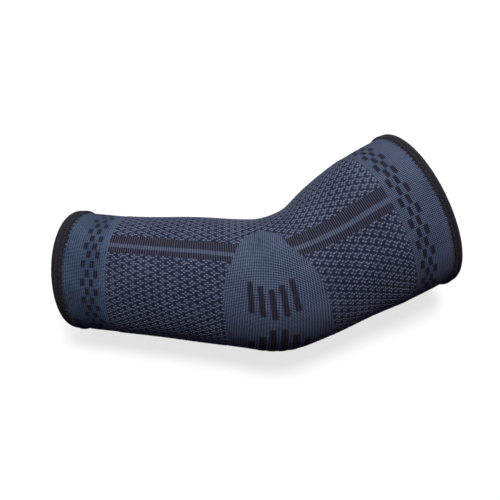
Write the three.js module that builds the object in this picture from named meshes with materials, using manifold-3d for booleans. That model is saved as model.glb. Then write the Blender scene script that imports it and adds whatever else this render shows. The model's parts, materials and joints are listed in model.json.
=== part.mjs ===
// Knitted elbow sleeve, lying on its side with the elbow bent.
// Millimetres, +Z up. The bend is in the XY plane: forearm towards -X, upper arm towards +X,
// elbow tip towards -Y, crook towards +Y. The origin is under the middle of the bounding box.
import * as THREE from 'three';
import { mergeVertices } from 'three/addons/utils/BufferGeometryUtils.js';
import Module from 'manifold-3d';

const wasm = await Module();
wasm.setup();

// ---- driving dimensions ----
const FOREARM_END = -134;            // station of the forearm hem along the sleeve's midline
const UPPER_ARM_END = 109.6;         // station of the upper-arm hem
const FOREARM_CUFF_EDGE = -104;      // where each cuff meets the patterned knit
const UPPER_ARM_CUFF_EDGE = 74.5;
const FABRIC = 1.9;                  // thickness of the knit
const GAP = 0.3;                     // clearance between neighbouring solids
const REST_FLAT = 1.6;               // how far the underside is pressed flat where it lies

// [station, heading in degrees] of the midline, and [station, half width]
const HEADING = [
  [-134, -1.2], [-60, -1.4], [-22, -2.6], [-10, 1.6], [0, 14.9],
  [10, 28.6], [20, 34], [40, 35.8], [70, 33], [109.6, 31.8],
];
const HALF_WIDTH = [
  [-134, 38.5], [-90, 39.1], [-55, 41.1], [-22, 42.8], [0, 45.8],
  [20, 46.2], [40, 48.1], [70, 52.7], [90, 54.1], [109.6, 54.5],
];
// half height over half width
const DEPTH_RATIO = [[-134, 1.06], [0, 1.01], [109.6, 0.98]];

// the cross-sections turn more slowly than the midline, so that the crook doesn't fold:
// their facing goes from one angle to the other over a length about a middle station
const FACING = { forearm: -3.7, upperArm: 29.6, middle: 8.5, length: 79 };

// each hem's plane leans over its height, in degrees
const FOREARM_LEAN = -12.6;
const UPPER_ARM_LEAN = -2.4;

const HINGE_OFFSET = 30;             // the hinge's distance from the midline, towards the crook
const EXTENSION_HALF = 18;           // half of the free wedge on the elbow's side, degrees
const FLEXION_HALF = 41;             // half of the free wedge on the crook's side, degrees

// elbow panel: [degrees from the elbow's tip line, forearm-side edge, upper-arm-side edge]
const PANEL_EDGE = [
  [0, -27.8, 24.5], [20, -29.5, 22], [40, -31.6, 21], [60, -33.2, 19],
  [75, -32.4, 15.6], [90, -29.8, 9], [104, -27.4, 5], [112, -22.2, -4.8], [118, -16, -11],
];

// side bands: angles in degrees from the sleeve's top line, positive towards the elbow's tip
const FOREARM_BAND = { from: -14, to: 6.5 };
const UPPER_ARM_BAND = { from: -7, to: 14 };

const HEM_WIDTH = 6.5;
const HEM_PLY = 1;                   // thickness of the hem's binding
const STITCH_PITCH = 3.4;
const STITCH_WIDTH = 2;
const THREAD = 0.7;

const AROUND = 40;                   // facets round the sleeve
const STEP = 8;                      // facet length along the sleeve

// ---- the sleeve's surface ----
const radians = THREE.MathUtils.degToRad;

// smooth value between the stations of a table, level with its ends beyond them
function lookup(table, station) {
  const last = table.length - 1;
  if (station <= table[0][0]) return table[0][1];
  if (station >= table[last][0]) return table[last][1];
  const i = table.findIndex((row, n) => n < last && station < table[n + 1][0]);
  const slope = (n) => {
    const a = table[Math.max(n - 1, 0)];
    const b = table[Math.min(n + 1, last)];
    return (b[1] - a[1]) / (b[0] - a[0]);
  };
  const span = table[i + 1][0] - table[i][0];
  const t = (station - table[i][0]) / span;
  const rise = table[i + 1][1] - table[i][1];
  const ease = t * t * (3 - 2 * t);
  const leave = span * slope(i) * t * (1 - t) * (1 - t);
  const arrive = span * slope(i + 1) * t * t * (1 - t);
  return table[i][1] + rise * ease + leave - arrive;
}

// the midline, walked from the elbow in both directions
const WALK = 0.5;
const walked = new Map([[0, new THREE.Vector2(0, 0)]]);
for (const way of [-1, 1]) {
  const point = new THREE.Vector2(0, 0);
  for (let n = 1; n * WALK <= 140; n += 1) {
    const heading = radians(lookup(HEADING, way * (n - 0.5) * WALK));
    point.x += way * WALK * Math.cos(heading);
    point.y += way * WALK * Math.sin(heading);
    walked.set(way * n, point.clone());
  }
}

function midline(station) {
  const low = Math.floor(station / WALK);
  return walked.get(low).clone().lerp(walked.get(low + 1), station / WALK - low);
}

// the knit is lifted off the table by the hem's binding at each end
function lift(station) {
  const inside = Math.min(station - FOREARM_END, UPPER_ARM_END - station);
  return (HEM_PLY + GAP) * (1 - THREE.MathUtils.smoothstep(inside, HEM_WIDTH + 5, HEM_WIDTH + 16));
}

function facing(station) {
  const half = FACING.length / 2;
  const turned = THREE.MathUtils.smoothstep(station, FACING.middle - half, FACING.middle + half);
  return radians(THREE.MathUtils.lerp(FACING.forearm, FACING.upperArm, turned));
}

// a point of the sleeve: angle from the top line, towards the elbow's tip; depth below the outer face
function sleevePoint(station, angle, depth) {
  const face = facing(station);
  const halfWidth = lookup(HALF_WIDTH, station);
  const halfHeight = halfWidth * lookup(DEPTH_RATIO, station);
  const lean = station < 0 ? FOREARM_LEAN : UPPER_ARM_LEAN;
  const share = (station / (station < 0 ? FOREARM_END : UPPER_ARM_END)) ** 2;
  const up = Math.cos(radians(angle));
  const out = Math.sin(radians(angle));
  const ahead = halfWidth * share * Math.tan(radians(lean)) * up;
  const aside = -(halfWidth - depth) * out;
  const middle = midline(station);
  const height = halfHeight - REST_FLAT + (halfHeight - depth) * up;
  return new THREE.Vector3(
    middle.x + ahead * Math.cos(face) - aside * Math.sin(face),
    middle.y + ahead * Math.sin(face) + aside * Math.cos(face),
    Math.max(height, lift(station) + depth),
  );
}

// ---- solids ----
function closedGeometry(points, triangles) {
  const geometry = new THREE.BufferGeometry();
  geometry.setAttribute('position', new THREE.Float32BufferAttribute(points.flatMap((p) => p.toArray()), 3));
  geometry.setIndex(triangles);
  return geometry;
}

function toManifold(geometry) {
  const plain = geometry.clone();
  plain.deleteAttribute('normal');
  plain.deleteAttribute('uv');
  const merged = mergeVertices(plain, 1e-4);
  const index = merged.index.array;
  const kept = [];
  for (let i = 0; i < index.length; i += 3) {
    const [a, b, c] = [index[i], index[i + 1], index[i + 2]];
    if (a !== b && b !== c && c !== a) kept.push(a, b, c);
  }
  return new wasm.Manifold(new wasm.Mesh({
    numProp: 3,
    vertProperties: new Float32Array(merged.attributes.position.array),
    triVerts: new Uint32Array(kept),
  }));
}

function toGeometry(manifold) {
  const mesh = manifold.getMesh();
  const geometry = new THREE.BufferGeometry();
  geometry.setAttribute('position', new THREE.BufferAttribute(new Float32Array(mesh.vertProperties), 3));
  geometry.setIndex(new THREE.BufferAttribute(new Uint32Array(mesh.triVerts), 1));
  return geometry;
}

// a ring round the sleeve; section(n) gives the n-th section as [station, depth] pairs
function ringSolid(count, section) {
  const points = [];
  const triangles = [];
  const size = section(0).length;
  for (let n = 0; n < count; n += 1) {
    const angle = (n + 0.5) * (360 / count);
    for (const [station, depth] of section(n)) points.push(sleevePoint(station, angle, depth));
    const next = (n + 1) % count;
    for (let k = 0; k < size; k += 1) {
      const after = (k + 1) % size;
      triangles.push(n * size + k, next * size + k, next * size + after);
      triangles.push(n * size + k, next * size + after, n * size + after);
    }
  }
  return closedGeometry(points, triangles);
}

function stationsBetween(from, to) {
  const steps = Math.max(1, Math.round((to - from) / STEP));
  return Array.from({ length: steps + 1 }, (_, n) => from + ((to - from) * n) / steps);
}

// a plain tube of the knit, from one station to another
function tube(from, to, outer = 0, inner = FABRIC) {
  const stations = stationsBetween(from, to);
  const section = [
    ...stations.map((s) => [s, outer]),
    ...stations.toReversed().map((s) => [s, inner]),
  ];
  return ringSolid(AROUND, () => section);
}

// a four-sided patch of the knit; edges(angle) gives its two end stations
function patch(fromAngle, toAngle, edges, outer = 0, inner = FABRIC, step = 360 / AROUND) {
  const columns = Math.max(1, Math.round((toAngle - fromAngle) / step));
  const [first, last] = edges(fromAngle);
  const rows = stationsBetween(first, last).length - 1;
  const points = [];
  const at = (side, column, row) => side * (columns + 1) * (rows + 1) + column * (rows + 1) + row;
  for (const depth of [outer, inner]) {
    for (let c = 0; c <= columns; c += 1) {
      const angle = fromAngle + ((toAngle - fromAngle) * c) / columns;
      const [from, to] = edges(angle);
      for (let r = 0; r <= rows; r += 1) points.push(sleevePoint(from + ((to - from) * r) / rows, angle, depth));
    }
  }
  const triangles = [];
  const quad = (a, b, c, d) => triangles.push(a, b, c, a, c, d);
  for (let c = 0; c < columns; c += 1) {
    for (let r = 0; r < rows; r += 1) {
      quad(at(0, c, r), at(0, c + 1, r), at(0, c + 1, r + 1), at(0, c, r + 1));
      quad(at(1, c, r), at(1, c, r + 1), at(1, c + 1, r + 1), at(1, c + 1, r));
    }
    quad(at(0, c, 0), at(1, c, 0), at(1, c + 1, 0), at(0, c + 1, 0));
    quad(at(0, c, rows), at(0, c + 1, rows), at(1, c + 1, rows), at(1, c, rows));
  }
  for (let r = 0; r < rows; r += 1) {
    quad(at(0, 0, r), at(0, 0, r + 1), at(1, 0, r + 1), at(1, 0, r));
    quad(at(0, columns, r), at(1, columns, r), at(1, columns, r + 1), at(0, columns, r + 1));
  }
  return closedGeometry(points, triangles);
}

// an upright prism through the whole sleeve
const PRISM_HEIGHT = 140;
function prism(outline) {
  const shape = new THREE.Shape(outline);
  const geometry = new THREE.ExtrudeGeometry(shape, { depth: PRISM_HEIGHT, bevelEnabled: false });
  geometry.translate(0, 0, -PRISM_HEIGHT / 8);
  return toManifold(geometry);
}

// ---- the hinge and the free wedges on both sides of it ----
const bisector = facing(FACING.middle);
const along = new THREE.Vector2(Math.cos(bisector), Math.sin(bisector));
const toTip = new THREE.Vector2(Math.sin(bisector), -Math.cos(bisector));
const hinge = midline(FACING.middle).addScaledVector(toTip, -HINGE_OFFSET);

function fromHinge(u, v) {
  return hinge.clone().addScaledVector(along, u).addScaledVector(toTip, v);
}

// a wedge that opens away from the hinge; way is 1 towards the tip and -1 towards the crook
const WEDGE_REACH = 100;
const NECK = 0.6;
function wedge(halfAngle, way, grow) {
  const wide = WEDGE_REACH * Math.tan(radians(halfAngle)) + NECK + grow;
  const start = way * (GAP / 2 - grow / 2);
  return prism([
    fromHinge(-NECK - grow, start), fromHinge(NECK + grow, start),
    fromHinge(wide, way * WEDGE_REACH), fromHinge(-wide, way * WEDGE_REACH),
  ]);
}

// the elbow panel's outline, mirrored on the two faces of the sleeve, as one prism
function panelPrism(grow) {
  const top = (angleFromTip) => 90 - angleFromTip;
  const edge = (column, way) => PANEL_EDGE.map((row) => {
    const p = sleevePoint(row[column] + way * grow, top(row[0]), 0);
    return new THREE.Vector2(p.x, p.y);
  });
  const left = edge(1, -1);
  const right = edge(2, 1);
  const beyond = (p) => p.clone().addScaledVector(toTip, 15);
  const apexLift = new THREE.Vector2(0, grow);
  const outline = [
    beyond(left[0]), beyond(right[0]), ...right.slice(0, -1),
    right.at(-1).add(apexLift), left.at(-1).add(apexLift), ...left.slice(0, -1).toReversed(),
  ];
  return prism(outline);
}

const elbowCut = (grow) => panelPrism(grow).add(wedge(EXTENSION_HALF, 1, grow));
const crookCut = (grow) => wedge(FLEXION_HALF, -1, grow);
const elbowTube = toManifold(tube(-70, 66));

const elbowPanel = elbowTube.intersect(elbowCut(0));
const crookPanel = elbowTube.intersect(crookCut(0)).subtract(elbowCut(GAP));

function limbPatch(fromAngle, toAngle, from, to) {
  const solid = toManifold(patch(fromAngle, toAngle, () => [from, to]));
  return solid.subtract(elbowCut(GAP)).subtract(crookCut(GAP));
}

// ---- hems ----
// the binding is folded round the knit's edge: an outer flap, the fold and an inner flap
function binding(end) {
  const inward = end < 0 ? 1 : -1;
  const s = (distance) => end + inward * distance;
  const outside = -GAP - HEM_PLY;
  const inside = FABRIC + GAP;
  const section = [
    [s(0), outside], [s(HEM_WIDTH), outside], [s(HEM_WIDTH), -GAP], [s(HEM_PLY), -GAP],
    [s(HEM_PLY), inside], [s(HEM_WIDTH), inside], [s(HEM_WIDTH), inside + HEM_PLY], [s(0), inside + HEM_PLY],
  ];
  return ringSolid(AROUND, () => (inward > 0 ? section : section.toReversed()));
}

// the elastic lies in the fold, past the knit's edge
const ELASTIC_WIDTH = 2;
function elastic(end) {
  const inward = end < 0 ? 1 : -1;
  const near = end + inward * (HEM_PLY + GAP);
  const far = near + inward * ELASTIC_WIDTH;
  return tube(Math.min(near, far), Math.max(near, far));
}

// one thread, zigzag over the knit beside the binding
function stitching(end) {
  const inward = end < 0 ? 1 : -1;
  const halfWidth = lookup(HALF_WIDTH, end);
  const stitches = Math.round((2 * Math.PI * halfWidth) / STITCH_PITCH);
  const near = end + inward * (HEM_WIDTH + GAP + THREAD);
  return ringSolid(2 * stitches, (n) => {
    const middle = near + inward * (n % 2) * STITCH_WIDTH;
    const face = -GAP;
    return [[middle - THREAD / 2, face], [middle, face - THREAD], [middle + THREAD / 2, face]];
  });
}

function cuff(end, edge) {
  const inward = end < 0 ? 1 : -1;
  const rim = end + inward * (HEM_PLY + ELASTIC_WIDTH + 2 * GAP);
  const body = edge - inward * (GAP / 2);
  return tube(Math.min(rim, body), Math.max(rim, body));
}

// ---- materials ----
const finish = (color, roughness) => new THREE.MeshStandardMaterial({ color, roughness, metalness: 0 });
const FINISHES = {
  cuffKnit: finish('#55627d', 0.9),
  bodyKnit: finish('#434a60', 0.92),
  panelKnit: finish('#566280', 0.9),
  bandKnit: finish('#2f2e3b', 0.9),
  hemBinding: finish('#232229', 0.8),
  elastic: finish('#c9c6bf', 0.7),
  thread: finish('#3a373d', 0.75),
};

// ---- assembly ----
const group = new THREE.Group();

function piece(name, geometry, material) {
  const mesh = new THREE.Mesh(geometry, FINISHES[material]);
  mesh.name = name;
  group.add(mesh);
}

const LIMBS = [
  {
    name: 'forearm', end: FOREARM_END, edge: FOREARM_CUFF_EDGE, band: FOREARM_BAND,
    from: FOREARM_CUFF_EDGE + GAP / 2, to: 12, bandFrom: FOREARM_CUFF_EDGE + GAP / 2, bandTo: -12,
  },
  {
    name: 'upper_arm', end: UPPER_ARM_END, edge: UPPER_ARM_CUFF_EDGE, band: UPPER_ARM_BAND,
    from: 0, to: UPPER_ARM_CUFF_EDGE - GAP / 2, bandFrom: 6, bandTo: UPPER_ARM_CUFF_EDGE - GAP / 2,
  },
];

// what lies on one side of the elbow's bisector
const FAR = 200;
function onSide(solid, way) {
  const half = prism([
    fromHinge(0, -FAR), fromHinge(way * FAR, -FAR), fromHinge(way * FAR, FAR), fromHinge(0, FAR),
  ]);
  return solid.intersect(half);
}

for (const limb of LIMBS) {
  const way = limb.end < 0 ? -1 : 1;
  const margin = 0.25;               // degrees, half the gap beside a band
  const { from: low, to: high } = limb.band;
  const cut = (a, b) => toGeometry(onSide(limbPatch(a, b, limb.from, limb.to), way));
  const band = (a, b) => toGeometry(onSide(limbPatch(a, b, limb.bandFrom, limb.bandTo), way));
  piece(`${limb.name}_hem_binding`, binding(limb.end), 'hemBinding');
  piece(`${limb.name}_hem_elastic`, elastic(limb.end), 'elastic');
  piece(`${limb.name}_hem_stitching`, stitching(limb.end), 'thread');
  piece(`${limb.name}_cuff`, cuff(limb.end, limb.edge), 'cuffKnit');
  piece(`${limb.name}_elbow_side`, cut(high + margin, 180 - high - margin), 'bodyKnit');
  piece(`${limb.name}_crook_side`, cut(180 - low + margin, 360 + low - margin), 'bodyKnit');
  piece(`${limb.name}_band_upper`, band(low + margin, high - margin), 'bandKnit');
  piece(`${limb.name}_band_under`, band(180 - high + margin, 180 - low - margin), 'bandKnit');
}
piece('elbow_panel', toGeometry(elbowPanel), 'panelKnit');
piece('crook_panel', toGeometry(crookPanel), 'bodyKnit');

const box = new THREE.Box3().setFromObject(group);
const centre = box.getCenter(new THREE.Vector3());
group.position.set(-centre.x, -centre.y, -box.min.z);

export default group;
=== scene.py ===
"""Knitted elbow sleeve: its looks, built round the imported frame.

Blender works in metres. The knit is laid out in its own measures, as a tube is knitted:
station, millimetres along the sleeve from the elbow (forearm below 0, upper arm above 0), and
angle, degrees round it (0 on the top line, 90 on the elbow's tip, -90 in the crook).
"""

import json
import math

import bpy
import numpy as np
from mathutils import Matrix, Vector


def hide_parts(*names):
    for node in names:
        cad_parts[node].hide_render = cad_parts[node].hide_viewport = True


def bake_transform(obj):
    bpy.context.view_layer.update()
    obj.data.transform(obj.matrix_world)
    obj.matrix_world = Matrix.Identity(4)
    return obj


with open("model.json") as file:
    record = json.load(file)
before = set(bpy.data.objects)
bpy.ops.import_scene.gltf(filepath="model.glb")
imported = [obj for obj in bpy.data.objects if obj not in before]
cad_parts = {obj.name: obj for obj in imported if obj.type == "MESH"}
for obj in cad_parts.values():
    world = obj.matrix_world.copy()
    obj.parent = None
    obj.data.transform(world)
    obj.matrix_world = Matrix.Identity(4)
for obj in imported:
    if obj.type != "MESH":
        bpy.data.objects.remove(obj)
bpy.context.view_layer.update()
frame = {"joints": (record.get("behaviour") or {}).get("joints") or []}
MM = 0.001

# ---- the sleeve's shape: the same measures as the CAD model's, in millimetres and degrees ----
FOREARM_END, UPPER_ARM_END = -134.7, 109.6
FOREARM_CUFF_EDGE, UPPER_ARM_CUFF_EDGE = -104.0, 74.5
FABRIC = 1.9
HEADING = [
    (-134, -1.2), (-60, -1.4), (-22, -2.6), (-10, 1.6), (0, 14.9),
    (10, 28.6), (20, 34), (40, 35.8), (70, 33), (109.6, 31.8),
]
HALF_WIDTH = [
    (-134, 38.5), (-90, 39.1), (-55, 41.1), (-22, 42.8), (0, 45.8),
    (20, 46.2), (40, 48.1), (70, 52.7), (90, 54.1), (109.6, 54.5),
]
DEPTH_RATIO = [(-134, 1.06), (0, 1.01), (109.6, 0.98)]
FACING_FOREARM, FACING_UPPER_ARM, FACING_MIDDLE, FACING_LENGTH = -3.7, 29.6, 8.5, 79
FOREARM_LEAN, UPPER_ARM_LEAN = -12.6, -2.4
REST_FLAT = 1.6
HINGE_OFFSET = 30
HEM_WIDTH, HEM_PLY, GAP = 6.1, 1.0, 0.3
# the elastic hem draws the cuff in, most at the forearm's tip side
DRAWN_IN, TIP_DRAWN_IN, DRAWN_LENGTH = 0.2, 0.9, 16
KNIT_INSET = 3.6  # from the hem's fold to the knit's edge
PRESS_SOFTNESS = 1.2  # rounds the edge of the flat underside

# ---- the knit's zones ----
# side bands: station, angle of the band's crook-side edge and of its tip-side edge
BAND_EDGES = [
    (-104, -14.4, 4), (-80, -13.9, 4.2), (-57, -12.8, 5.2), (-30, -11.5, 6), (5, -12, 6),
    (24, -10.5, 8.5), (40, -8, 11), (56, -7, 12), (74.5, -6, 12.5),
]
# elbow panel: degrees from the tip line, forearm-side edge, upper-arm-side edge
APEX = 118
PANEL_EDGES = [
    (0, -27.8, 24.5), (20, -29.5, 22), (40, -31.6, 21), (60, -33.2, 19), (75, -32.4, 15.6),
    (90, -29.8, 8), (97, -28.8, 3.8), (104, -27, 1), (109, -24.5, -2.2), (113, -21.2, -6.2),
    (APEX, -15.4, -12), (130, -15, -1), (150, -12, 18), (180, -8, 30),
]


def lookup(table, at, column=1):
    """The smooth value of a table's column, level beyond its ends."""
    rows = np.array(table, float)
    x, y = rows[:, 0], rows[:, column]
    slope = (np.append(y[1:], y[-1]) - np.append(y[0], y[:-1])) / (
        np.append(x[1:], x[-1]) - np.append(x[0], x[:-1])
    )
    at = np.clip(at, x[0], x[-1])
    i = np.clip(np.searchsorted(x, at, side="right") - 1, 0, len(x) - 2)
    span = x[i + 1] - x[i]
    t = (at - x[i]) / span
    ease = t * t * (3 - 2 * t)
    leave, arrive = span * slope[i] * t * (1 - t) ** 2, span * slope[i + 1] * t * t * (1 - t)
    return y[i] + (y[i + 1] - y[i]) * ease + leave - arrive


def smoothstep(x, low, high):
    t = np.clip((x - low) / (high - low), 0, 1)
    return t * t * (3 - 2 * t)


WALK = 0.5  # between points of the midline
REACH = 140  # of the midline, either way from the elbow


def walk(way):
    """Points of the midline, every WALK from the elbow, in one direction."""
    middles = way * (np.arange(REACH / WALK) + 0.5) * WALK
    heading = np.radians(lookup(HEADING, middles))
    steps = way * WALK * np.stack([np.cos(heading), np.sin(heading)], -1)
    return np.cumsum(steps, 0)


MIDLINE = np.concatenate([walk(-1)[::-1], [[0, 0]], walk(1)])
MIDLINE_AT = np.arange(len(MIDLINE)) * WALK - REACH


def midline(station):
    return np.stack([np.interp(station, MIDLINE_AT, MIDLINE[:, k]) for k in (0, 1)], -1)


def facing(station):
    half = FACING_LENGTH / 2
    turned = smoothstep(station, FACING_MIDDLE - half, FACING_MIDDLE + half)
    return np.radians(FACING_FOREARM + (FACING_UPPER_ARM - FACING_FOREARM) * turned)


bisector = float(facing(FACING_MIDDLE))
TO_TIP = np.array([math.sin(bisector), -math.cos(bisector)])
hinge = midline(FACING_MIDDLE) - HINGE_OFFSET * TO_TIP
joint = frame["joints"][0]
SHIFT = np.array(joint["pos_m"][:2]) / MM - hinge  # from the elbow's own point to the frame's origin


def lift(station):
    inside = np.minimum(station - FOREARM_END, UPPER_ARM_END - station)
    return (HEM_PLY + GAP) * (1 - smoothstep(inside, HEM_WIDTH + 5, HEM_WIDTH + 16))


def surface(station, angle, depth=0.0):
    """Points of the sleeve in the frame, in millimetres; depth is below the knit's outer face."""
    station, angle, depth = np.broadcast_arrays(station, angle, depth)
    face = facing(station)
    half_width = lookup(HALF_WIDTH, station)
    half_height = half_width * lookup(DEPTH_RATIO, station)
    lean = np.where(station < 0, FOREARM_LEAN, UPPER_ARM_LEAN)
    share = (station / np.where(station < 0, FOREARM_END, UPPER_ARM_END)) ** 2
    up, out = np.cos(np.radians(angle)), np.sin(np.radians(angle))
    ahead = half_width * share * np.tan(np.radians(lean)) * up
    middle = midline(station) + SHIFT
    inside = np.minimum(station - FOREARM_END, UPPER_ARM_END - station)
    drawn = DRAWN_IN + TIP_DRAWN_IN * np.where(station < 0, smoothstep(out, 0, 1), 0)
    depth = depth + drawn * (1 - smoothstep(inside, 0, DRAWN_LENGTH))
    aside = -(half_width - depth) * out
    height = half_height - REST_FLAT + (half_height - depth) * up
    rest = lift(station) + depth
    return np.stack([
        middle[..., 0] + ahead * np.cos(face) - aside * np.sin(face),
        middle[..., 1] + ahead * np.sin(face) + aside * np.cos(face),
        (height + rest + np.sqrt((height - rest) ** 2 + PRESS_SOFTNESS**2) - 0.25) / 2,
    ], -1)


def outward(station, angle):
    """The unit normal of the sleeve."""
    step = 0.6
    by_station = surface(station + step, angle) - surface(station - step, angle)
    by_angle = surface(station, angle + step) - surface(station, angle - step)
    normal = np.cross(by_angle, by_station)
    return normal / np.linalg.norm(normal, axis=-1, keepdims=True)


# ---- arithmetic that works alike on numbers and on a material's wires ----
class Wire:
    """A number travelling through a material's nodes."""

    def __init__(self, socket):
        self.socket = socket
        self.tree = socket.id_data

    def __add__(self, other):
        return math_node("ADD", self, other)

    def __sub__(self, other):
        return math_node("SUBTRACT", self, other)

    def __rsub__(self, other):
        return math_node("SUBTRACT", other, self)

    def __mul__(self, other):
        return math_node("MULTIPLY", self, other)

    def __truediv__(self, other):
        return math_node("DIVIDE", self, other)

    __radd__, __rmul__ = __add__, __mul__


def math_node(operation, *values):
    tree = next(v.tree for v in values if isinstance(v, Wire))
    node = tree.nodes.new("ShaderNodeMath")
    node.operation = operation
    for pin, value in zip(node.inputs, values):
        if isinstance(value, Wire):
            tree.links.new(value.socket, pin)
        else:
            pin.default_value = value
    return Wire(node.outputs[0])


def either(operation, function):
    def run(*values):
        if any(isinstance(v, Wire) for v in values):
            return math_node(operation, *values)
        return function(*values)

    return run


cosine = either("COSINE", np.cos)
fract = either("FRACT", lambda x: x - np.floor(x))
floor = either("FLOOR", np.floor)
size = either("ABSOLUTE", np.abs)
least = either("MINIMUM", np.minimum)
most = either("MAXIMUM", np.maximum)
grow = either("EXPONENT", np.exp)


def ramp(x, low, high):
    """0 below low, 1 above high, smooth in between."""
    t = most(least((x - low) / (high - low), 1.0), 0.0)
    return t * t * (3.0 - 2.0 * t)


def blob(x, y, across, along=None):
    """A soft round spot, 1 in its middle."""
    a, b = x / across, y / (along or across)
    return grow(-1.0 * (a * a + b * b))


# ---- the knit's patterns ----
COURSE = 1.36  # between the fine ribs, which run round the sleeve
CUFF_COURSE = 1.26
WALES = 280  # stitches in one round
CELLS = 54  # crosses of the patterned knit in one round
COLUMN = 3 * COURSE  # between its rounds of crosses
WALE = 4  # stitches from one cross to the next, round the sleeve
# the rounds of stitches don't lie square to the sleeve: how far each is slid along it,
# at the top line and at the tip line
SKEW = [
    (-134, 0, 0), (-112, 2.5, 0), (-90, 4.8, 0.3), (-75, 4.5, 2.4), (-60, 4.5, 4.2),
    (-45, 3.8, 6.4), (-28, 2.8, 7.6), (-10, 1.2, 7.6), (8, 0, 4.5), (20, -1, 3),
    (30, -1.8, 1.2), (45, -2.4, 0.6), (64, -2.6, 0.4), (85, -1.5, 0.2), (109.6, 0, 0),
]


def stitch_station(station, angle):
    """Which round of stitches a place lies in, as a station."""
    turn = np.radians(angle)
    return station + lookup(SKEW, station, 1) * np.cos(turn) - lookup(SKEW, station, 2) * np.sin(turn)


def wave(x):
    return 0.5 + 0.5 * cosine(x * (2 * math.pi))


def ribs(stitch, course=COURSE):
    return wave(stitch / course)


def holes(stitch, angle, course=COURSE):
    """Dark dots between the ribs, one for each stitch."""
    return (1.0 - ribs(stitch, course)) * wave(angle * (WALES / 360))


# the raised stitches of one cross and of those beside it: courses and stitches from its centre
CROSS = [(-1, 0), (1, 0), (0, 0.96), (-1, 2), (-2, 2), (2, 2), (2, 0)]
DOT_ALONG, DOT_ROUND = 0.37, 0.37  # size of one raised stitch, in courses and stitches


def cell_height(stitch, angle):
    """The patterned knit: half-dropped rounds of crosses made of raised stitches, with pits between."""
    column = stitch / COLUMN
    odd = floor(column) - 2.0 * floor(column / 2.0)
    row = angle * (CELLS / 360) + 0.5 * odd
    x = (fract(column) - 0.5) * 3.0
    y = size((fract(row) - 0.5) * float(WALE))
    height = 0.18 * wave(x) * wave(y) + 0.2 * blob(x, y, 1.0, 0.9)
    for along, round_by in CROSS:
        height = height + 0.98 * blob(x - along, y - round_by, DOT_ALONG, DOT_ROUND)
    return height


# side bars: station of the middle, degrees from the tip line where it ends and starts
SIDE_BARS = [
    (-14.6 + 5.5 * n, 69 - 3 * inner, 43 - 2.5 * inner) for n, inner in enumerate((0, 1, 2, 1, 0))
]
# tip bars: station of the middle, degrees it reaches either side of the tip line
TIP_BARS = [(-15.3 + 5.0 * n, reach) for n, reach in enumerate((12, 20, 28, 28, 20, 12))]
BAR_HALF = 1.45  # half a bar's width
BAR_BOW = 0.0009  # how much the bars bow


def bars(station, from_tip):
    """1 on the elbow panel's raised bars."""
    bowed = station + BAR_BOW * from_tip * from_tip
    found = 0.0
    for middle, high, low in SIDE_BARS:
        within = ramp(from_tip, low - 0.5, low + 0.5) * (1.0 - ramp(from_tip, high - 0.5, high + 0.5))
        found = most(found, within * (1.0 - ramp(size(bowed - middle), BAR_HALF - 0.25, BAR_HALF + 0.25)))
    for middle, reach in TIP_BARS:
        within = 1.0 - ramp(from_tip, reach - 0.5, reach + 0.5)
        found = most(found, within * (1.0 - ramp(size(bowed - middle), BAR_HALF - 0.25, BAR_HALF + 0.25)))
    return found


FOREARM_CHECKS = {"first": -116.9, "pitch": 2.5, "count": 21, "phase": 0.0, "half": (1.25, 3.3)}
UPPER_ARM_CHECKS = {"first": 79.5, "pitch": 2.9, "count": 23, "phase": -5.0, "half": (1.45, 3.4)}


def checks(station, angle, first, pitch, count, phase, half):
    """1 on the cuff's four rounds of staggered checks, count in each round."""
    found = 0.0
    turn = 360.0 / count
    for n in range(4):
        across = 1.0 - ramp(size(station - (first + n * pitch)), half[0] - 0.15, half[0] + 0.15)
        around = (fract((angle - phase) / turn + 0.5 - 0.5 * (n % 2)) - 0.5) * turn
        found = most(found, across * (1.0 - ramp(size(around), half[1] - 0.3, half[1] + 0.3)))
    return found


# ---- the grid of the whole tube: rounds of points at rising stations, in columns ----
# each count is a multiple of COARSE, because the inner face keeps only every third point
COARSE = 3
COLUMNS = {"crook": 96, "shoulder": 24, "band": 33, "tip": 129}
ROWS = {"forearm_cuff": 84, "forearm": 147, "elbow": 204, "upper_arm": 114, "upper_arm_cuff": 93}


def half_round(station):
    """Angles of the columns from the crook line to the tip line, at the given stations."""
    edge = [np.full_like(station, x) for x in (-90.0, 90.0 - APEX)]
    edge += [lookup(BAND_EDGES, station, 1), lookup(BAND_EDGES, station, 2), np.full_like(station, 90.0)]
    parts = []
    for k, count in enumerate(COLUMNS.values()):
        share = np.arange(count) / count
        parts.append(edge[k][..., None] * (1 - share) + edge[k + 1][..., None] * share)
    return np.concatenate(parts, -1)


HALF = sum(COLUMNS.values())


def column_angle(station, column):
    """Angle of a column at its station; columns run from the crook line round by the tip."""
    mirrored = column > HALF
    near = np.where(mirrored, 2 * HALF - column, column)
    table = np.concatenate([half_round(station), np.full(station.shape + (1,), 90.0)], -1)
    angle = np.take_along_axis(table, near[..., None], -1)[..., 0]
    return np.where(mirrored, 180 - angle, angle)


def edge_station(column_number, side):
    """Where each column crosses one of the elbow's two edges."""
    station = np.zeros(len(column_number))
    for _ in range(6):
        angle = column_angle(station, column_number)
        station = lookup(PANEL_EDGES, np.abs(angle - 90), side)
    return station


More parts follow.
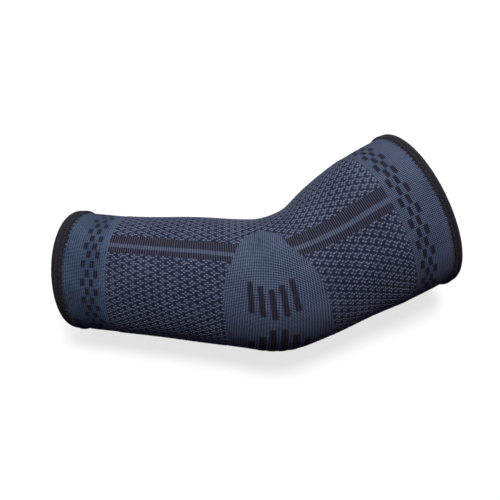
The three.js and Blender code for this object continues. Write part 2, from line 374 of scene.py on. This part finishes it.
column_number = np.arange(2 * HALF)
left_edge, right_edge = edge_station(column_number, 1), edge_station(column_number, 2)
level = np.ones(len(column_number))
stops = [
    (FOREARM_END + KNIT_INSET) * level, FOREARM_CUFF_EDGE * level, left_edge,
    right_edge, UPPER_ARM_CUFF_EDGE * level, (UPPER_ARM_END - KNIT_INSET) * level,
]
stations, first_row = [], {}
for zone, (name, count) in enumerate(ROWS.items()):
    first_row[name] = len(stations)
    for n in range(count):
        stations.append(stops[zone] + (stops[zone + 1] - stops[zone]) * n / count)
stations.append(stops[-1])
first_row["end"] = len(stations) - 1
station = np.array(stations)
column = np.broadcast_to(column_number, station.shape)
angle = column_angle(station, column)
from_tip = np.abs(angle - 90)
stitch = stitch_station(station, angle)


def inset(distance, width=1.0):
    return smoothstep(distance, 0, width)


# how far things stand out, in millimetres
KNIT_FLOOR, STITCH_HEIGHT = 0.06, 0.34
PANEL_HEIGHT, BAR_HEIGHT = 0.15, 0.2
RIB_HEIGHT, CUFF_RIB_HEIGHT = 0.1, 0.05


def relief():
    """How far the knit stands out, in millimetres, over the whole grid."""
    radius = lookup(HALF_WIDTH, station)
    across = np.radians(1) * radius
    mirrored = np.where(angle > 90, 180 - angle, angle)
    band_low, band_high = (lookup(BAND_EDGES, station, k) for k in (1, 2))
    off_band = np.maximum(band_low - mirrored, mirrored - band_high)
    off_cuffs = np.minimum(station - FOREARM_CUFF_EDGE, UPPER_ARM_CUFF_EDGE - station)
    left, right = (lookup(PANEL_EDGES, from_tip, k) for k in (1, 2))
    off_apex = (from_tip - APEX) * across
    off_panel = np.where(from_tip < APEX, np.maximum(left - station, station - right), off_apex)
    off_panel = np.maximum(off_panel, off_apex)
    body = inset(off_band * across) * inset(off_cuffs) * inset(off_panel)
    panel = inset(-off_panel, 1.5) * (from_tip < APEX)
    high = KNIT_FLOOR + STITCH_HEIGHT * np.minimum(cell_height(stitch, angle), 1.1)
    flat = smoothstep(surface(station, angle)[..., 2], 0.3, 4)
    cuff = inset(-off_cuffs)
    panel_ribs = RIB_HEIGHT * (ribs(stitch) - 0.5)
    cuff_ribs = CUFF_RIB_HEIGHT * (ribs(stitch, CUFF_COURSE) - 0.5)
    panel_high = PANEL_HEIGHT + panel_ribs + BAR_HEIGHT * bars(station, from_tip)
    return flat * (body * high + panel * panel_high + cuff * cuff_ribs)


# the cloth's slow unevenness, none where it rests
sway = 0.22 * np.sin(station / 17 + 2.1) * np.sin(np.radians(2 * angle + 40)) + 0.16 * np.sin(
    station / 9.3 + np.radians(3 * angle)
)
sway *= smoothstep(surface(station, angle)[..., 2], 2, 12)
OUTER = surface(station, angle) + (relief() + sway)[..., None] * outward(station, angle)
INNER = surface(station, angle, FABRIC) + sway[..., None] * outward(station, angle)


# ---- materials ----
def new_material(name, roughness, sheen):
    material = bpy.data.materials.new(name)
    material.use_nodes = True
    shader = material.node_tree.nodes["Principled BSDF"]
    shader.inputs["Roughness"].default_value = roughness
    shader.inputs["Specular IOR Level"].default_value = 0.05
    shader.inputs["Sheen Weight"].default_value = sheen
    shader.inputs["Sheen Roughness"].default_value = 0.5
    return material


def knit_wires(material):
    """The three knit coordinates of a place, as wires."""
    tree = material.node_tree
    source = tree.nodes.new("ShaderNodeAttribute")
    source.attribute_name = "knit"
    split = tree.nodes.new("ShaderNodeSeparateXYZ")
    tree.links.new(source.outputs["Vector"], split.inputs[0])
    return [Wire(out) for out in split.outputs]


def mix(tree, share, low, high):
    """A colour between two, each a colour or a socket."""
    node = tree.nodes.new("ShaderNodeMix")
    node.data_type = "RGBA"
    tree.links.new(share.socket, node.inputs[0])
    for pin, value in ((node.inputs[6], low), (node.inputs[7], high)):
        if isinstance(value, bpy.types.NodeSocket):
            tree.links.new(value, pin)
        else:
            pin.default_value = (*value, 1)
    return node.outputs[2]


def cloud(station_wire, angle_wire, scale, detail=2.0):
    """Noise over the knit, about 0.5, in a tube so that it has no seam."""
    tree = station_wire.tree
    turn = angle_wire * (math.pi / 180)
    join = tree.nodes.new("ShaderNodeCombineXYZ")
    tree.links.new(station_wire.socket, join.inputs[0])
    tree.links.new((cosine(turn) * 43.0).socket, join.inputs[1])
    tree.links.new((cosine(turn - math.pi / 2) * 43.0).socket, join.inputs[2])
    noise = tree.nodes.new("ShaderNodeTexNoise")
    noise.inputs["Scale"].default_value = scale
    noise.inputs["Detail"].default_value = detail
    tree.links.new(join.outputs[0], noise.inputs["Vector"])
    return Wire(noise.outputs["Fac"])


def finish_material(material, colour, height, depth_mm):
    """Wires the colour and the fine relief, depth_mm deep, to the shader."""
    tree = material.node_tree
    shader = tree.nodes["Principled BSDF"]
    tree.links.new(colour, shader.inputs["Base Color"])
    bump = tree.nodes.new("ShaderNodeBump")
    bump.inputs["Strength"].default_value = 1.0
    bump.inputs["Distance"].default_value = depth_mm * MM
    tree.links.new(height.socket, bump.inputs["Height"])
    tree.links.new(bump.outputs["Normal"], shader.inputs["Normal"])
    return material


# colours, linear
BODY_LIGHT, BODY_DARK = (0.116, 0.140, 0.210), (0.0102, 0.0122, 0.0250)
PANEL_LIGHT, PANEL_DARK = (0.094, 0.123, 0.193), (0.0036, 0.0052, 0.0120)
FOREARM_CUFF_LIGHT, UPPER_ARM_CUFF_LIGHT = (0.085, 0.123, 0.203), (0.072, 0.090, 0.143)
CUFF_DARK = (0.0062, 0.0095, 0.0210)
STRIPE_LIGHT, STRIPE_DARK = (0.0460, 0.0440, 0.0670), (0.0050, 0.0060, 0.0130)
GAP_LIGHT, GAP_DARK = (0.074, 0.091, 0.140), (0.016, 0.021, 0.038)
BAR_LIGHT, BAR_DARK = (0.0240, 0.0225, 0.0350), (0.0062, 0.0070, 0.0145)
CHECK_LIGHT, CHECK_DARK = (0.0165, 0.0165, 0.0285), (0.0050, 0.0060, 0.0125)
HEM_LIGHT, HEM_DARK = (0.0230, 0.0215, 0.0270), (0.0050, 0.0050, 0.0075)
THREAD_LIGHT, THREAD_DARK = (0.040, 0.038, 0.047), (0.010, 0.010, 0.014)
INSIDE_LIGHT, INSIDE_DARK = (0.130, 0.155, 0.225), (0.024, 0.030, 0.052)
ELASTIC_LIGHT, ELASTIC_DARK = (0.60, 0.58, 0.53), (0.30, 0.29, 0.26)


def body_material():
    material = new_material("body_knit", 0.9, 0.015)
    t, a, _ = knit_wires(material)
    tree = material.node_tree
    height = cell_height(t, a)
    yarn = cloud(t, a, 1.6)
    slow = cloud(t, a, 0.05)
    share = ramp(height + 0.5 * (yarn - 0.5) + 0.3 * (slow - 0.5) + 0.16 * (ribs(t) - 0.5), 0.0, 1.0)
    tone = mix(tree, share, BODY_DARK, BODY_LIGHT)
    return finish_material(material, tone, height + 0.25 * ribs(t), 0.3)


def mesh_material(name, tones, hole, course, marks, mark_tones):
    """Fine knit with a dark dot between its ribs and its stitches, and dark marks on it."""
    material = new_material(name, 0.9, 0.015)
    s, a, t = knit_wires(material)
    tree = material.node_tree
    dot = holes(t, a, course)
    rib = ribs(t, course)
    between = wave(a * (WALES / 360))
    slow = cloud(t, a, 0.05)
    yarn = cloud(t, a, 1.6)
    share = 0.98 - 0.1 * rib - 0.3 * between - hole * dot
    share = share + 0.5 * (slow - 0.5) + 0.6 * (yarn - 0.5)
    share = share - 0.24 * ramp(size(s - 8.0), 108.0, 118.0)  # painted shade: darker towards the hems, where the cuff curves in and turns from the light
    tone = mix(tree, ramp(share, 0.0, 1.0), tones[1], tones[0])
    on = marks(s, a, size(a - 90.0))
    mark = mix(tree, ramp(rib + 0.6 * (yarn - 0.5), 0.1, 1.0), mark_tones[1], mark_tones[0])
    height = 0.1 * rib - 0.15 * between - 0.5 * dot
    return finish_material(material, mix(tree, on, tone, mark), height, 0.22)


BAND_STRIPES = (0.5, 0.71)  # where the light stripe between the dark ones starts and ends


def band_material():
    material = new_material("band_knit", 0.9, 0.015)
    t, a, across = knit_wires(material)
    tree = material.node_tree
    rib = ribs(t)
    yarn = cloud(t, a, 1.4)
    dark = mix(tree, ramp(rib + 0.6 * (yarn - 0.5), 0.2, 1.1), STRIPE_DARK, STRIPE_LIGHT)
    light_share = 0.25 + 0.75 * rib - 0.35 * holes(t, a) + 0.5 * (yarn - 0.5)
    light = mix(tree, ramp(light_share, 0.0, 1.0), GAP_DARK, GAP_LIGHT)
    start, end = BAND_STRIPES
    on = ramp(across, start - 0.015, start + 0.015) * (1.0 - ramp(across, end - 0.015, end + 0.015))
    return finish_material(material, mix(tree, on, dark, light), rib, 0.28)


def inside_material():
    """The knit's back: the same yarns, seen as loose floats."""
    material = new_material("knit_inside", 0.95, 0.015)
    t, a, _ = knit_wires(material)
    tree = material.node_tree
    rib = ribs(t * 0.5)
    float_yarn = wave(a * (WALES / 720))
    share = 0.25 + 0.5 * rib * float_yarn + 0.5 * (cloud(t, a, 0.5) - 0.3)
    tone = mix(tree, ramp(share, 0.0, 1.0), INSIDE_DARK, INSIDE_LIGHT)
    return finish_material(material, tone, rib * float_yarn, 0.35)


def hem_material():
    material = new_material("hem_binding", 0.8, 0.02)
    s, a, across = knit_wires(material)
    tree = material.node_tree
    weave = wave(across * 13.0)
    pulls = wave(a * 1.4)
    yarn = cloud(s, a, 1.2)
    share = 0.25 * weave + 0.15 * pulls + 0.9 * (yarn - 0.25)
    tone = mix(tree, ramp(share, 0.0, 1.0), HEM_DARK, HEM_LIGHT)
    return finish_material(material, tone, 0.6 * weave + 0.4 * pulls, 0.15)


def thread_material():
    material = new_material("thread", 0.7, 0.02)
    _, a, across = knit_wires(material)
    tree = material.node_tree
    twist = wave(a * 3.0 + across * 2.0)
    tone = mix(tree, ramp(twist, 0.0, 1.0), THREAD_DARK, THREAD_LIGHT)
    return finish_material(material, tone, twist, 0.05)


def elastic_material():
    material = new_material("elastic", 0.6, 0.0)
    s, a, across = knit_wires(material)
    strands = wave(across * 18.0)
    gathers = wave(a * 0.5)
    share = 0.5 * strands + 0.2 * gathers + 0.9 * (cloud(s, a, 1.5) - 0.3)
    tone = mix(material.node_tree, ramp(share, 0.0, 1.0), ELASTIC_DARK, ELASTIC_LIGHT)
    return finish_material(material, tone, strands + 0.5 * gathers, 0.12)


# ---- meshes ----
def make_piece(name, points, groups, knit, materials):
    """A mesh in metres. Each group is (corners, corners in the knit coordinates, material number)."""
    corners = np.concatenate([g[0].ravel() for g in groups])
    sizes = np.concatenate([np.full(len(g[0]), g[0].shape[1]) for g in groups])
    mesh = bpy.data.meshes.new(name)
    mesh.vertices.add(len(points))
    mesh.vertices.foreach_set("co", (points * MM).astype(np.float32).ravel())
    mesh.loops.add(len(corners))
    mesh.loops.foreach_set("vertex_index", corners.astype(np.int32))
    mesh.polygons.add(len(sizes))
    mesh.polygons.foreach_set("loop_start", np.append(0, np.cumsum(sizes)[:-1]).astype(np.int32))
    for material in materials:
        mesh.materials.append(material)
    numbers = np.concatenate([np.full(len(g[0]), g[2]) for g in groups])
    mesh.polygons.foreach_set("material_index", numbers.astype(np.int32))
    mesh.update(calc_edges=True)
    store = mesh.attributes.new("knit", "FLOAT_VECTOR", "CORNER")
    at = np.concatenate([g[1].ravel() for g in groups])
    store.data.foreach_set("vector", knit[at].astype(np.float32).ravel())
    mesh.polygons.foreach_set("use_smooth", np.ones(len(sizes), bool))
    mesh.set_sharp_from_angle(angle=math.radians(70))
    mesh.validate()
    piece = bpy.data.objects.new(name, mesh)
    bpy.context.scene.collection.objects.link(piece)
    return piece


def quads(ids):
    """The quads of a grid of point numbers."""
    return np.stack([ids[:-1, :-1], ids[:-1, 1:], ids[1:, 1:], ids[1:, :-1]], -1).reshape(-1, 4)


def rim(outer, inner, flip):
    """Faces between an edge of the outer grid and the coarser edge of the inner one."""
    steps = [outer[k : len(outer) - COARSE + k : COARSE] for k in range(COARSE, 0, -1)]
    face = np.stack([inner[:-1], inner[1:], *steps, outer[:-1:COARSE]], -1)
    return face[:, ::-1] if flip else face


def shell(name, rows, columns, material, third=None):
    """One zone of the knit as a closed piece: outer face, inner face and the edges between them.

    The knit coordinates are the round of stitches, the angle and a third that the caller gives.
    """
    closed = columns is None
    first, last = (0, 2 * HALF) if closed else columns
    picked_rows, picked = np.arange(rows[0], rows[1] + 1), np.arange(first, last + 1) % (2 * HALF)
    block = np.ix_(picked_rows, picked)
    turn = np.unwrap(angle[block], axis=1, period=360)
    knit = np.stack([stitch[block], turn, np.zeros_like(turn)], -1)
    if third is not None:
        knit[..., 0], knit[..., 2] = third(knit[..., 0], station[block])
    step = slice(None, None, COARSE)
    knit_coarse = knit[step, step]
    height, width = turn.shape
    ids = np.arange(height * width).reshape(height, width)
    coarse_shape = knit_coarse.shape[:2]
    coarse = height * width + np.arange(math.prod(coarse_shape)).reshape(coarse_shape)
    points = np.concatenate([OUTER[block].reshape(-1, 3), INNER[block][step, step].reshape(-1, 3)])
    knit_ids, knit_inner = ids, coarse
    if closed:  # the last column is the first again, though the knit coordinates go on
        joined = np.arange(len(points))
        joined[ids[:, -1]], joined[coarse[:, -1]] = ids[:, 0], coarse[:, 0]
        used = np.ones(len(points), bool)
        used[ids[:, -1]] = used[coarse[:, -1]] = False
        joined = (np.cumsum(used) - 1)[joined]
        ids, coarse, points = joined[ids], joined[coarse], points[used]
    edges = [((0, slice(None)), False), ((-1, slice(None)), True)]
    if not closed:
        edges += [((slice(None), 0), True), ((slice(None), -1), False)]
    groups = [
        (quads(ids), quads(knit_ids), 0),
        (quads(coarse)[:, ::-1], quads(knit_inner)[:, ::-1], 1),
    ]
    for where, flip in edges:
        faces = rim(ids[where], coarse[where], flip)
        groups.append((faces, rim(knit_ids[where], knit_inner[where], flip), 0))
    knit = np.concatenate([knit.reshape(-1, 3), knit_coarse.reshape(-1, 3)])
    return make_piece(name, points, groups, knit, [material, MATERIALS["inside"]])


def sweep(name, points, knit, material):
    """A closed ring: the n-th round of points is its n-th section."""
    count, ring = points.shape[:2]
    ids = np.arange(count * ring).reshape(count, ring)
    ids = np.concatenate([ids, ids[:1]])
    ids = np.concatenate([ids, ids[:, :1]], 1)
    knit = np.concatenate([knit, knit[:1] + [0, 360, 0]])
    knit = np.concatenate([knit, knit[:, :1]], 1)
    knit[:, -1, 2] = 1
    knit_ids = np.arange((count + 1) * (ring + 1)).reshape(count + 1, ring + 1)
    groups = [(quads(ids), quads(knit_ids), 0)]
    return make_piece(name, points.reshape(-1, 3), groups, knit.reshape(-1, 3), [material])


UNDER = 0.15  # nothing lies lower than this


def at_depth(station, angle, depth):
    """Points off the sleeve's face along its own normal, in millimetres below it."""
    points = surface(station, angle) - np.asarray(depth)[..., None] * outward(station, angle)
    points[..., 2] = np.maximum(points[..., 2], UNDER)
    return points


THREAD_RADIUS, THREAD_SIDES = 0.27, 7
# zigzag stitches round each hem
STITCHES = {"forearm": 72, "upper_arm": 100}


def hem_section(ripple):
    """The folded binding's outline, as distance from the fold and depth below the knit's face."""
    edge = HEM_WIDTH
    outside, inside = -GAP - HEM_PLY, FABRIC + GAP + HEM_PLY + 0.15
    middle, swell = (outside + inside) / 2, (inside - outside) / 2
    turn = np.linspace(0, math.pi, 13)
    fold = [(1.9 - 2.3 * math.sin(t), middle - swell * math.cos(t)) for t in turn]
    outer = [
        (edge, -0.15), (edge - 0.3, -0.75),
        (edge - 1.1, -1.1 - 0.1 * ripple), (4.2, outside - 0.1),
    ]
    inner = [
        (4.2, inside), (edge - 1.1, inside - 0.1),
        (edge - 0.2, inside - 0.6), (edge, FABRIC + 0.15),
    ]
    hollow = [
        (edge - 0.6, FABRIC + 0.1), (1.2, FABRIC + 0.1), (0.9, FABRIC / 2),
        (1.2, -0.12), (edge - 0.6, -0.12),
    ]
    return outer + fold + inner + hollow


def pulled_thin(limb, angle, depth):
    """On the forearm's tip side the binding's outer ply is pulled thin."""
    thin = 0.45 * np.maximum(0, np.sin(np.radians(angle))) ** 2 * (limb == "forearm")
    return np.where(depth < -0.12, -0.12 + (depth + 0.12) * (1 - thin), depth)


def hem_binding(limb, end):
    inward = 1 if end < 0 else -1
    around = 6 * STITCHES[limb]
    turn = np.arange(around) * 360 / around
    rounds, knit = [], []
    for a in turn:
        ripple = math.cos(math.radians(a * STITCHES[limb]))
        section = np.array(hem_section(ripple))
        s = end + inward * (section[:, 0] + 0.12 * math.sin(math.radians(3 * a)) * (section[:, 0] < 3))
        depth = pulled_thin(limb, a, section[:, 1] - 0.05 * ripple)
        rounds.append(at_depth(s, np.full(len(s), a), depth))
        across = np.linspace(0, 1, len(s), endpoint=False)
        knit.append(np.stack([s, np.full(len(s), a), across], -1))
    points, knit = np.array(rounds), np.array(knit)
    if inward < 0:
        points, knit = points[:, ::-1], knit[:, ::-1]
    return sweep(f"{limb}_hem_binding_cloth", points, knit, MATERIALS["hem"])


def hem_elastic(limb, end):
    """The flat elastic inside the fold, gathered along its length."""
    inward = 1 if end < 0 else -1
    turn = np.arange(360) * 1.0
    corner = np.arange(16) * 2 * math.pi / 16
    wide = 0.95 * np.sign(np.cos(corner)) * np.sqrt(np.abs(np.cos(corner)))
    thick = 0.45 * np.sign(np.sin(corner)) * np.sqrt(np.abs(np.sin(corner)))
    gather = 0.06 * np.cos(np.radians(turn * 60))
    s = end + inward * (2.4 + wide[None, :] + gather[:, None])
    angle = np.broadcast_to(turn[:, None], s.shape)
    points = at_depth(s, angle, 0.72 + thick[None, :] * (1 + gather[:, None]))
    knit = np.stack(np.broadcast_arrays(s, angle, (corner / (2 * math.pi))[None, :]), -1).copy()
    if inward < 0:
        points, knit = points[:, ::-1], knit[:, ::-1]
    return sweep(f"{limb}_hem_elastic_band", points, knit, MATERIALS["elastic"])


def zigzag(limb, end):
    """The overlock thread, zigzag over the binding's edge and back."""
    inward = 1 if end < 0 else -1
    per_stitch = 8
    count = STITCHES[limb] * per_stitch
    turn = np.arange(count) * 360 / count
    phase = (np.arange(count) % per_stitch) / per_stitch
    swing = np.abs(phase * 2 - 1)
    on_hem = smoothstep(swing, 0.25, 0.6)
    s = end + inward * (HEM_WIDTH + 1.3 - 2.9 * swing)
    depth = -0.12 - 1.15 * on_hem - 0.2 * np.sin(math.pi * np.clip((swing - 0.2) / 0.8, 0, 1))
    path = at_depth(s, turn, pulled_thin(limb, turn, depth))
    ahead = np.roll(path, -1, 0) - np.roll(path, 1, 0)
    ahead /= np.linalg.norm(ahead, axis=1, keepdims=True)
    up = outward(s, turn)
    side = np.cross(ahead, up)
    side /= np.linalg.norm(side, axis=1, keepdims=True)
    ring = np.arange(THREAD_SIDES) * 2 * math.pi / THREAD_SIDES
    lifted = np.cross(side, ahead)
    points = path[:, None] + THREAD_RADIUS * (
        np.cos(ring)[None, :, None] * side[:, None] + np.sin(ring)[None, :, None] * lifted[:, None]
    )
    around = (ring / (2 * math.pi))[None, :]
    knit = np.stack(np.broadcast_arrays(s[:, None], turn[:, None], around), -1).copy()
    return sweep(f"{limb}_hem_zigzag", points, knit, MATERIALS["thread"])


MATERIALS = {
    "body": body_material(),
    "panel": mesh_material(
        "panel_knit", (PANEL_LIGHT, PANEL_DARK), 3.3, COURSE,
        lambda s, a, tip: bars(s, tip), (BAR_LIGHT, BAR_DARK),
    ),
    "forearm_cuff": mesh_material(
        "forearm_cuff_knit", (FOREARM_CUFF_LIGHT, CUFF_DARK), 1.8, CUFF_COURSE,
        lambda s, a, tip: checks(s, a, **FOREARM_CHECKS), (CHECK_LIGHT, CHECK_DARK),
    ),
    "upper_arm_cuff": mesh_material(
        "upper_arm_cuff_knit", (UPPER_ARM_CUFF_LIGHT, CUFF_DARK), 1.8, CUFF_COURSE,
        lambda s, a, tip: checks(s, a, **UPPER_ARM_CHECKS), (CHECK_LIGHT, CHECK_DARK),
    ),
    "band": band_material(),
    "inside": inside_material(),
    "hem": hem_material(),
    "thread": thread_material(),
    "elastic": elastic_material(),
}

# ---- the pieces ----
band_start = COLUMNS["crook"] + COLUMNS["shoulder"]
band_end = band_start + COLUMNS["band"]
upper = (band_start, band_end)
under = (2 * HALF - band_end, 2 * HALF - band_start)
tip_side = (band_end, 2 * HALF - band_end)
crook_side = (2 * HALF - band_start, 2 * HALF + band_start)
panel_columns = (COLUMNS["crook"], 2 * HALF - COLUMNS["crook"])
crook_columns = (2 * HALF - COLUMNS["crook"], 2 * HALF + COLUMNS["crook"])
across_up = np.arange(COLUMNS["band"] + 1) / COLUMNS["band"]


def plain(stitches, stations):
    """Knit coordinates of the zones with marks: the station first, the round of stitches third."""
    return stations, stitches


def across(places):
    """Knit coordinates of the side bands: how far across the band third."""
    return lambda stitches, stations: (stitches, places[None, :])


HEM_STRIP = 15.4  # width of the binding's strip before it is folded


def mouth_round(end):
    """Length of the sleeve's edge."""
    path = surface(np.full(361, end), np.arange(361) * 1.0)
    return float(np.linalg.norm(np.diff(path, axis=0), axis=1).sum())


def bends(piece):
    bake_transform(piece)


def zone(piece, node, slot):
    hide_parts(node)
    bends(piece)


def knit_zone(name, node, slot, rows, columns, material, third=None):
    """A zone of the knit, built as a closed piece in place of its CAD part, which is hidden."""
    piece = shell(name, rows, columns, MATERIALS[material], third)
    first, last = columns or (0, 2 * HALF)
    block = np.ix_(np.arange(rows[0], rows[1] + 1), np.arange(first, last + 1) % (2 * HALF))
    grid = surface(station[block], angle[block]) * MM
    zone(piece, node, slot)


rows_of = {
    "forearm": (first_row["forearm"], first_row["elbow"]),
    "upper_arm": (first_row["upper_arm"], first_row["upper_arm_cuff"]),
}
for limb, rows in rows_of.items():
    knit_zone(f"{limb}_knit_elbow_side", f"{limb}_elbow_side", "body_knit", rows, tip_side, "body")
    knit_zone(f"{limb}_knit_crook_side", f"{limb}_crook_side", "body_knit", rows, crook_side, "body")
    knit_zone(
        f"{limb}_striped_band_upper", f"{limb}_band_upper", "band_knit",
        rows, upper, "band", across(across_up),
    )
    knit_zone(
        f"{limb}_striped_band_under", f"{limb}_band_under", "band_knit",
        rows, under, "band", across(across_up[::-1]),
    )
elbow_rows = (first_row["elbow"], first_row["upper_arm"])
knit_zone("elbow_panel_knit", "elbow_panel", "panel_knit", elbow_rows, panel_columns, "panel", plain)
knit_zone("crook_panel_knit", "crook_panel", "body_knit", elbow_rows, crook_columns, "body")

CUFF_ROWS = {
    "forearm": (0, first_row["forearm"]),
    "upper_arm": (first_row["upper_arm_cuff"], first_row["end"]),
}
ENDS = {"forearm": FOREARM_END, "upper_arm": UPPER_ARM_END}
for limb, rows in CUFF_ROWS.items():
    knit_zone(f"{limb}_cuff_knit", f"{limb}_cuff", "cuff_knit", rows, None, f"{limb}_cuff", plain)
    hem = hem_binding(limb, ENDS[limb])
    strip = (mouth_round(ENDS[limb]) * MM, HEM_STRIP * MM)
    zone(hem, f"{limb}_hem_binding", "hem_binding")
    thread = zigzag(limb, ENDS[limb])
    zone(thread, f"{limb}_hem_stitching", "thread")
    zone(hem_elastic(limb, ENDS[limb]), f"{limb}_hem_elastic", "elastic")

# ---- camera, floor and light ----
ELEVATION, ROLL, DISTANCE, FOCAL = 65.3, 3.5, 511 * MM, 53.5
TARGET = Vector((-8.9, -6.4, 40.3)) * MM


def add_camera():
    lens = bpy.data.cameras.new("camera")
    lens.lens = FOCAL
    camera = bpy.data.objects.new("camera", lens)
    bpy.context.scene.collection.objects.link(camera)
    rise, roll = math.radians(ELEVATION), math.radians(ROLL)
    back = Vector((0, -math.cos(rise), math.sin(rise)))
    level_right, level_up = Vector((1, 0, 0)), Vector((0, math.sin(rise), math.cos(rise)))
    right = level_right * math.cos(roll) + level_up * math.sin(roll)
    up = -level_right * math.sin(roll) + level_up * math.cos(roll)
    place = Matrix((right, up, back)).transposed().to_4x4()
    place.translation = TARGET + back * DISTANCE
    camera.matrix_world = place
    bpy.context.scene.camera = camera


def add_area(name, place, size_m, power, colour=(1, 1, 1)):
    light = bpy.data.lights.new(name, "AREA")
    light.shape, light.size = "DISK", size_m
    light.energy, light.color = power, colour
    lamp = bpy.data.objects.new(name, light)
    lamp.location = place
    lamp.rotation_euler = (TARGET - Vector(place)).to_track_quat("-Z", "Y").to_euler()
    bpy.context.scene.collection.objects.link(lamp)


def add_floor():
    """A plain pale floor that curves up into a backdrop all round, out of the light's way."""
    profile = [(0.01, 0), (0.8, 0), (2.2, 0)]
    profile += [(2.2 + math.sin(t), 1 - math.cos(t)) for t in np.linspace(0.1, math.pi / 2, 12)]
    profile += [(3.2, 4)]
    turns = 96
    points, faces = [(0, 0, 0)], []
    for radius, height in profile:
        for n in range(turns):
            turn = 2 * math.pi * n / turns
            points.append((radius * math.cos(turn), radius * math.sin(turn), height))
    for n in range(turns):
        faces.append((0, 1 + n, 1 + (n + 1) % turns))
    for ring in range(len(profile) - 1):
        for n in range(turns):
            inner, after = 1 + ring * turns, (n + 1) % turns
            faces.append((inner + n, inner + turns + n, inner + turns + after, inner + after))
    mesh = bpy.data.meshes.new("floor")
    mesh.from_pydata(points, [], faces)
    material = bpy.data.materials.new("floor")
    material.use_nodes = True
    shader = material.node_tree.nodes["Principled BSDF"]
    shader.inputs["Base Color"].default_value = (0.22, 0.22, 0.22, 1)
    shader.inputs["Roughness"].default_value = 1.0
    shader.inputs["Specular IOR Level"].default_value = 0.0
    shader.inputs["Emission Color"].default_value = (1, 1, 1, 1)
    shader.inputs["Emission Strength"].default_value = 0.74
    mesh.materials.append(material)
    ground = bpy.data.objects.new("floor", mesh)
    ground.visible_diffuse = ground.visible_glossy = ground.visible_shadow = False
    bpy.context.scene.collection.objects.link(ground)


def add_world():
    world = bpy.data.worlds.new("studio")
    world.use_nodes = True
    world.node_tree.nodes["Background"].inputs["Color"].default_value = (0.05, 0.043, 0.058, 1)
    bpy.context.scene.world = world


add_camera()
add_floor()
add_world()
add_area("overhead", (0, 0.07, 1.4), 0.45, 26)
add_area("key", (-0.15, 1.22, 0.48), 0.5, 12.5)
add_area("mauve_fill", (0.95, -0.75, 0.55), 0.4, 1.3, (1.0, 0.45, 0.8))
add_area("blue_fill", (-1.0, -0.6, 0.5), 0.4, 0.6, (0.5, 0.75, 1.0))
bpy.context.scene.view_settings.view_transform = "Standard"
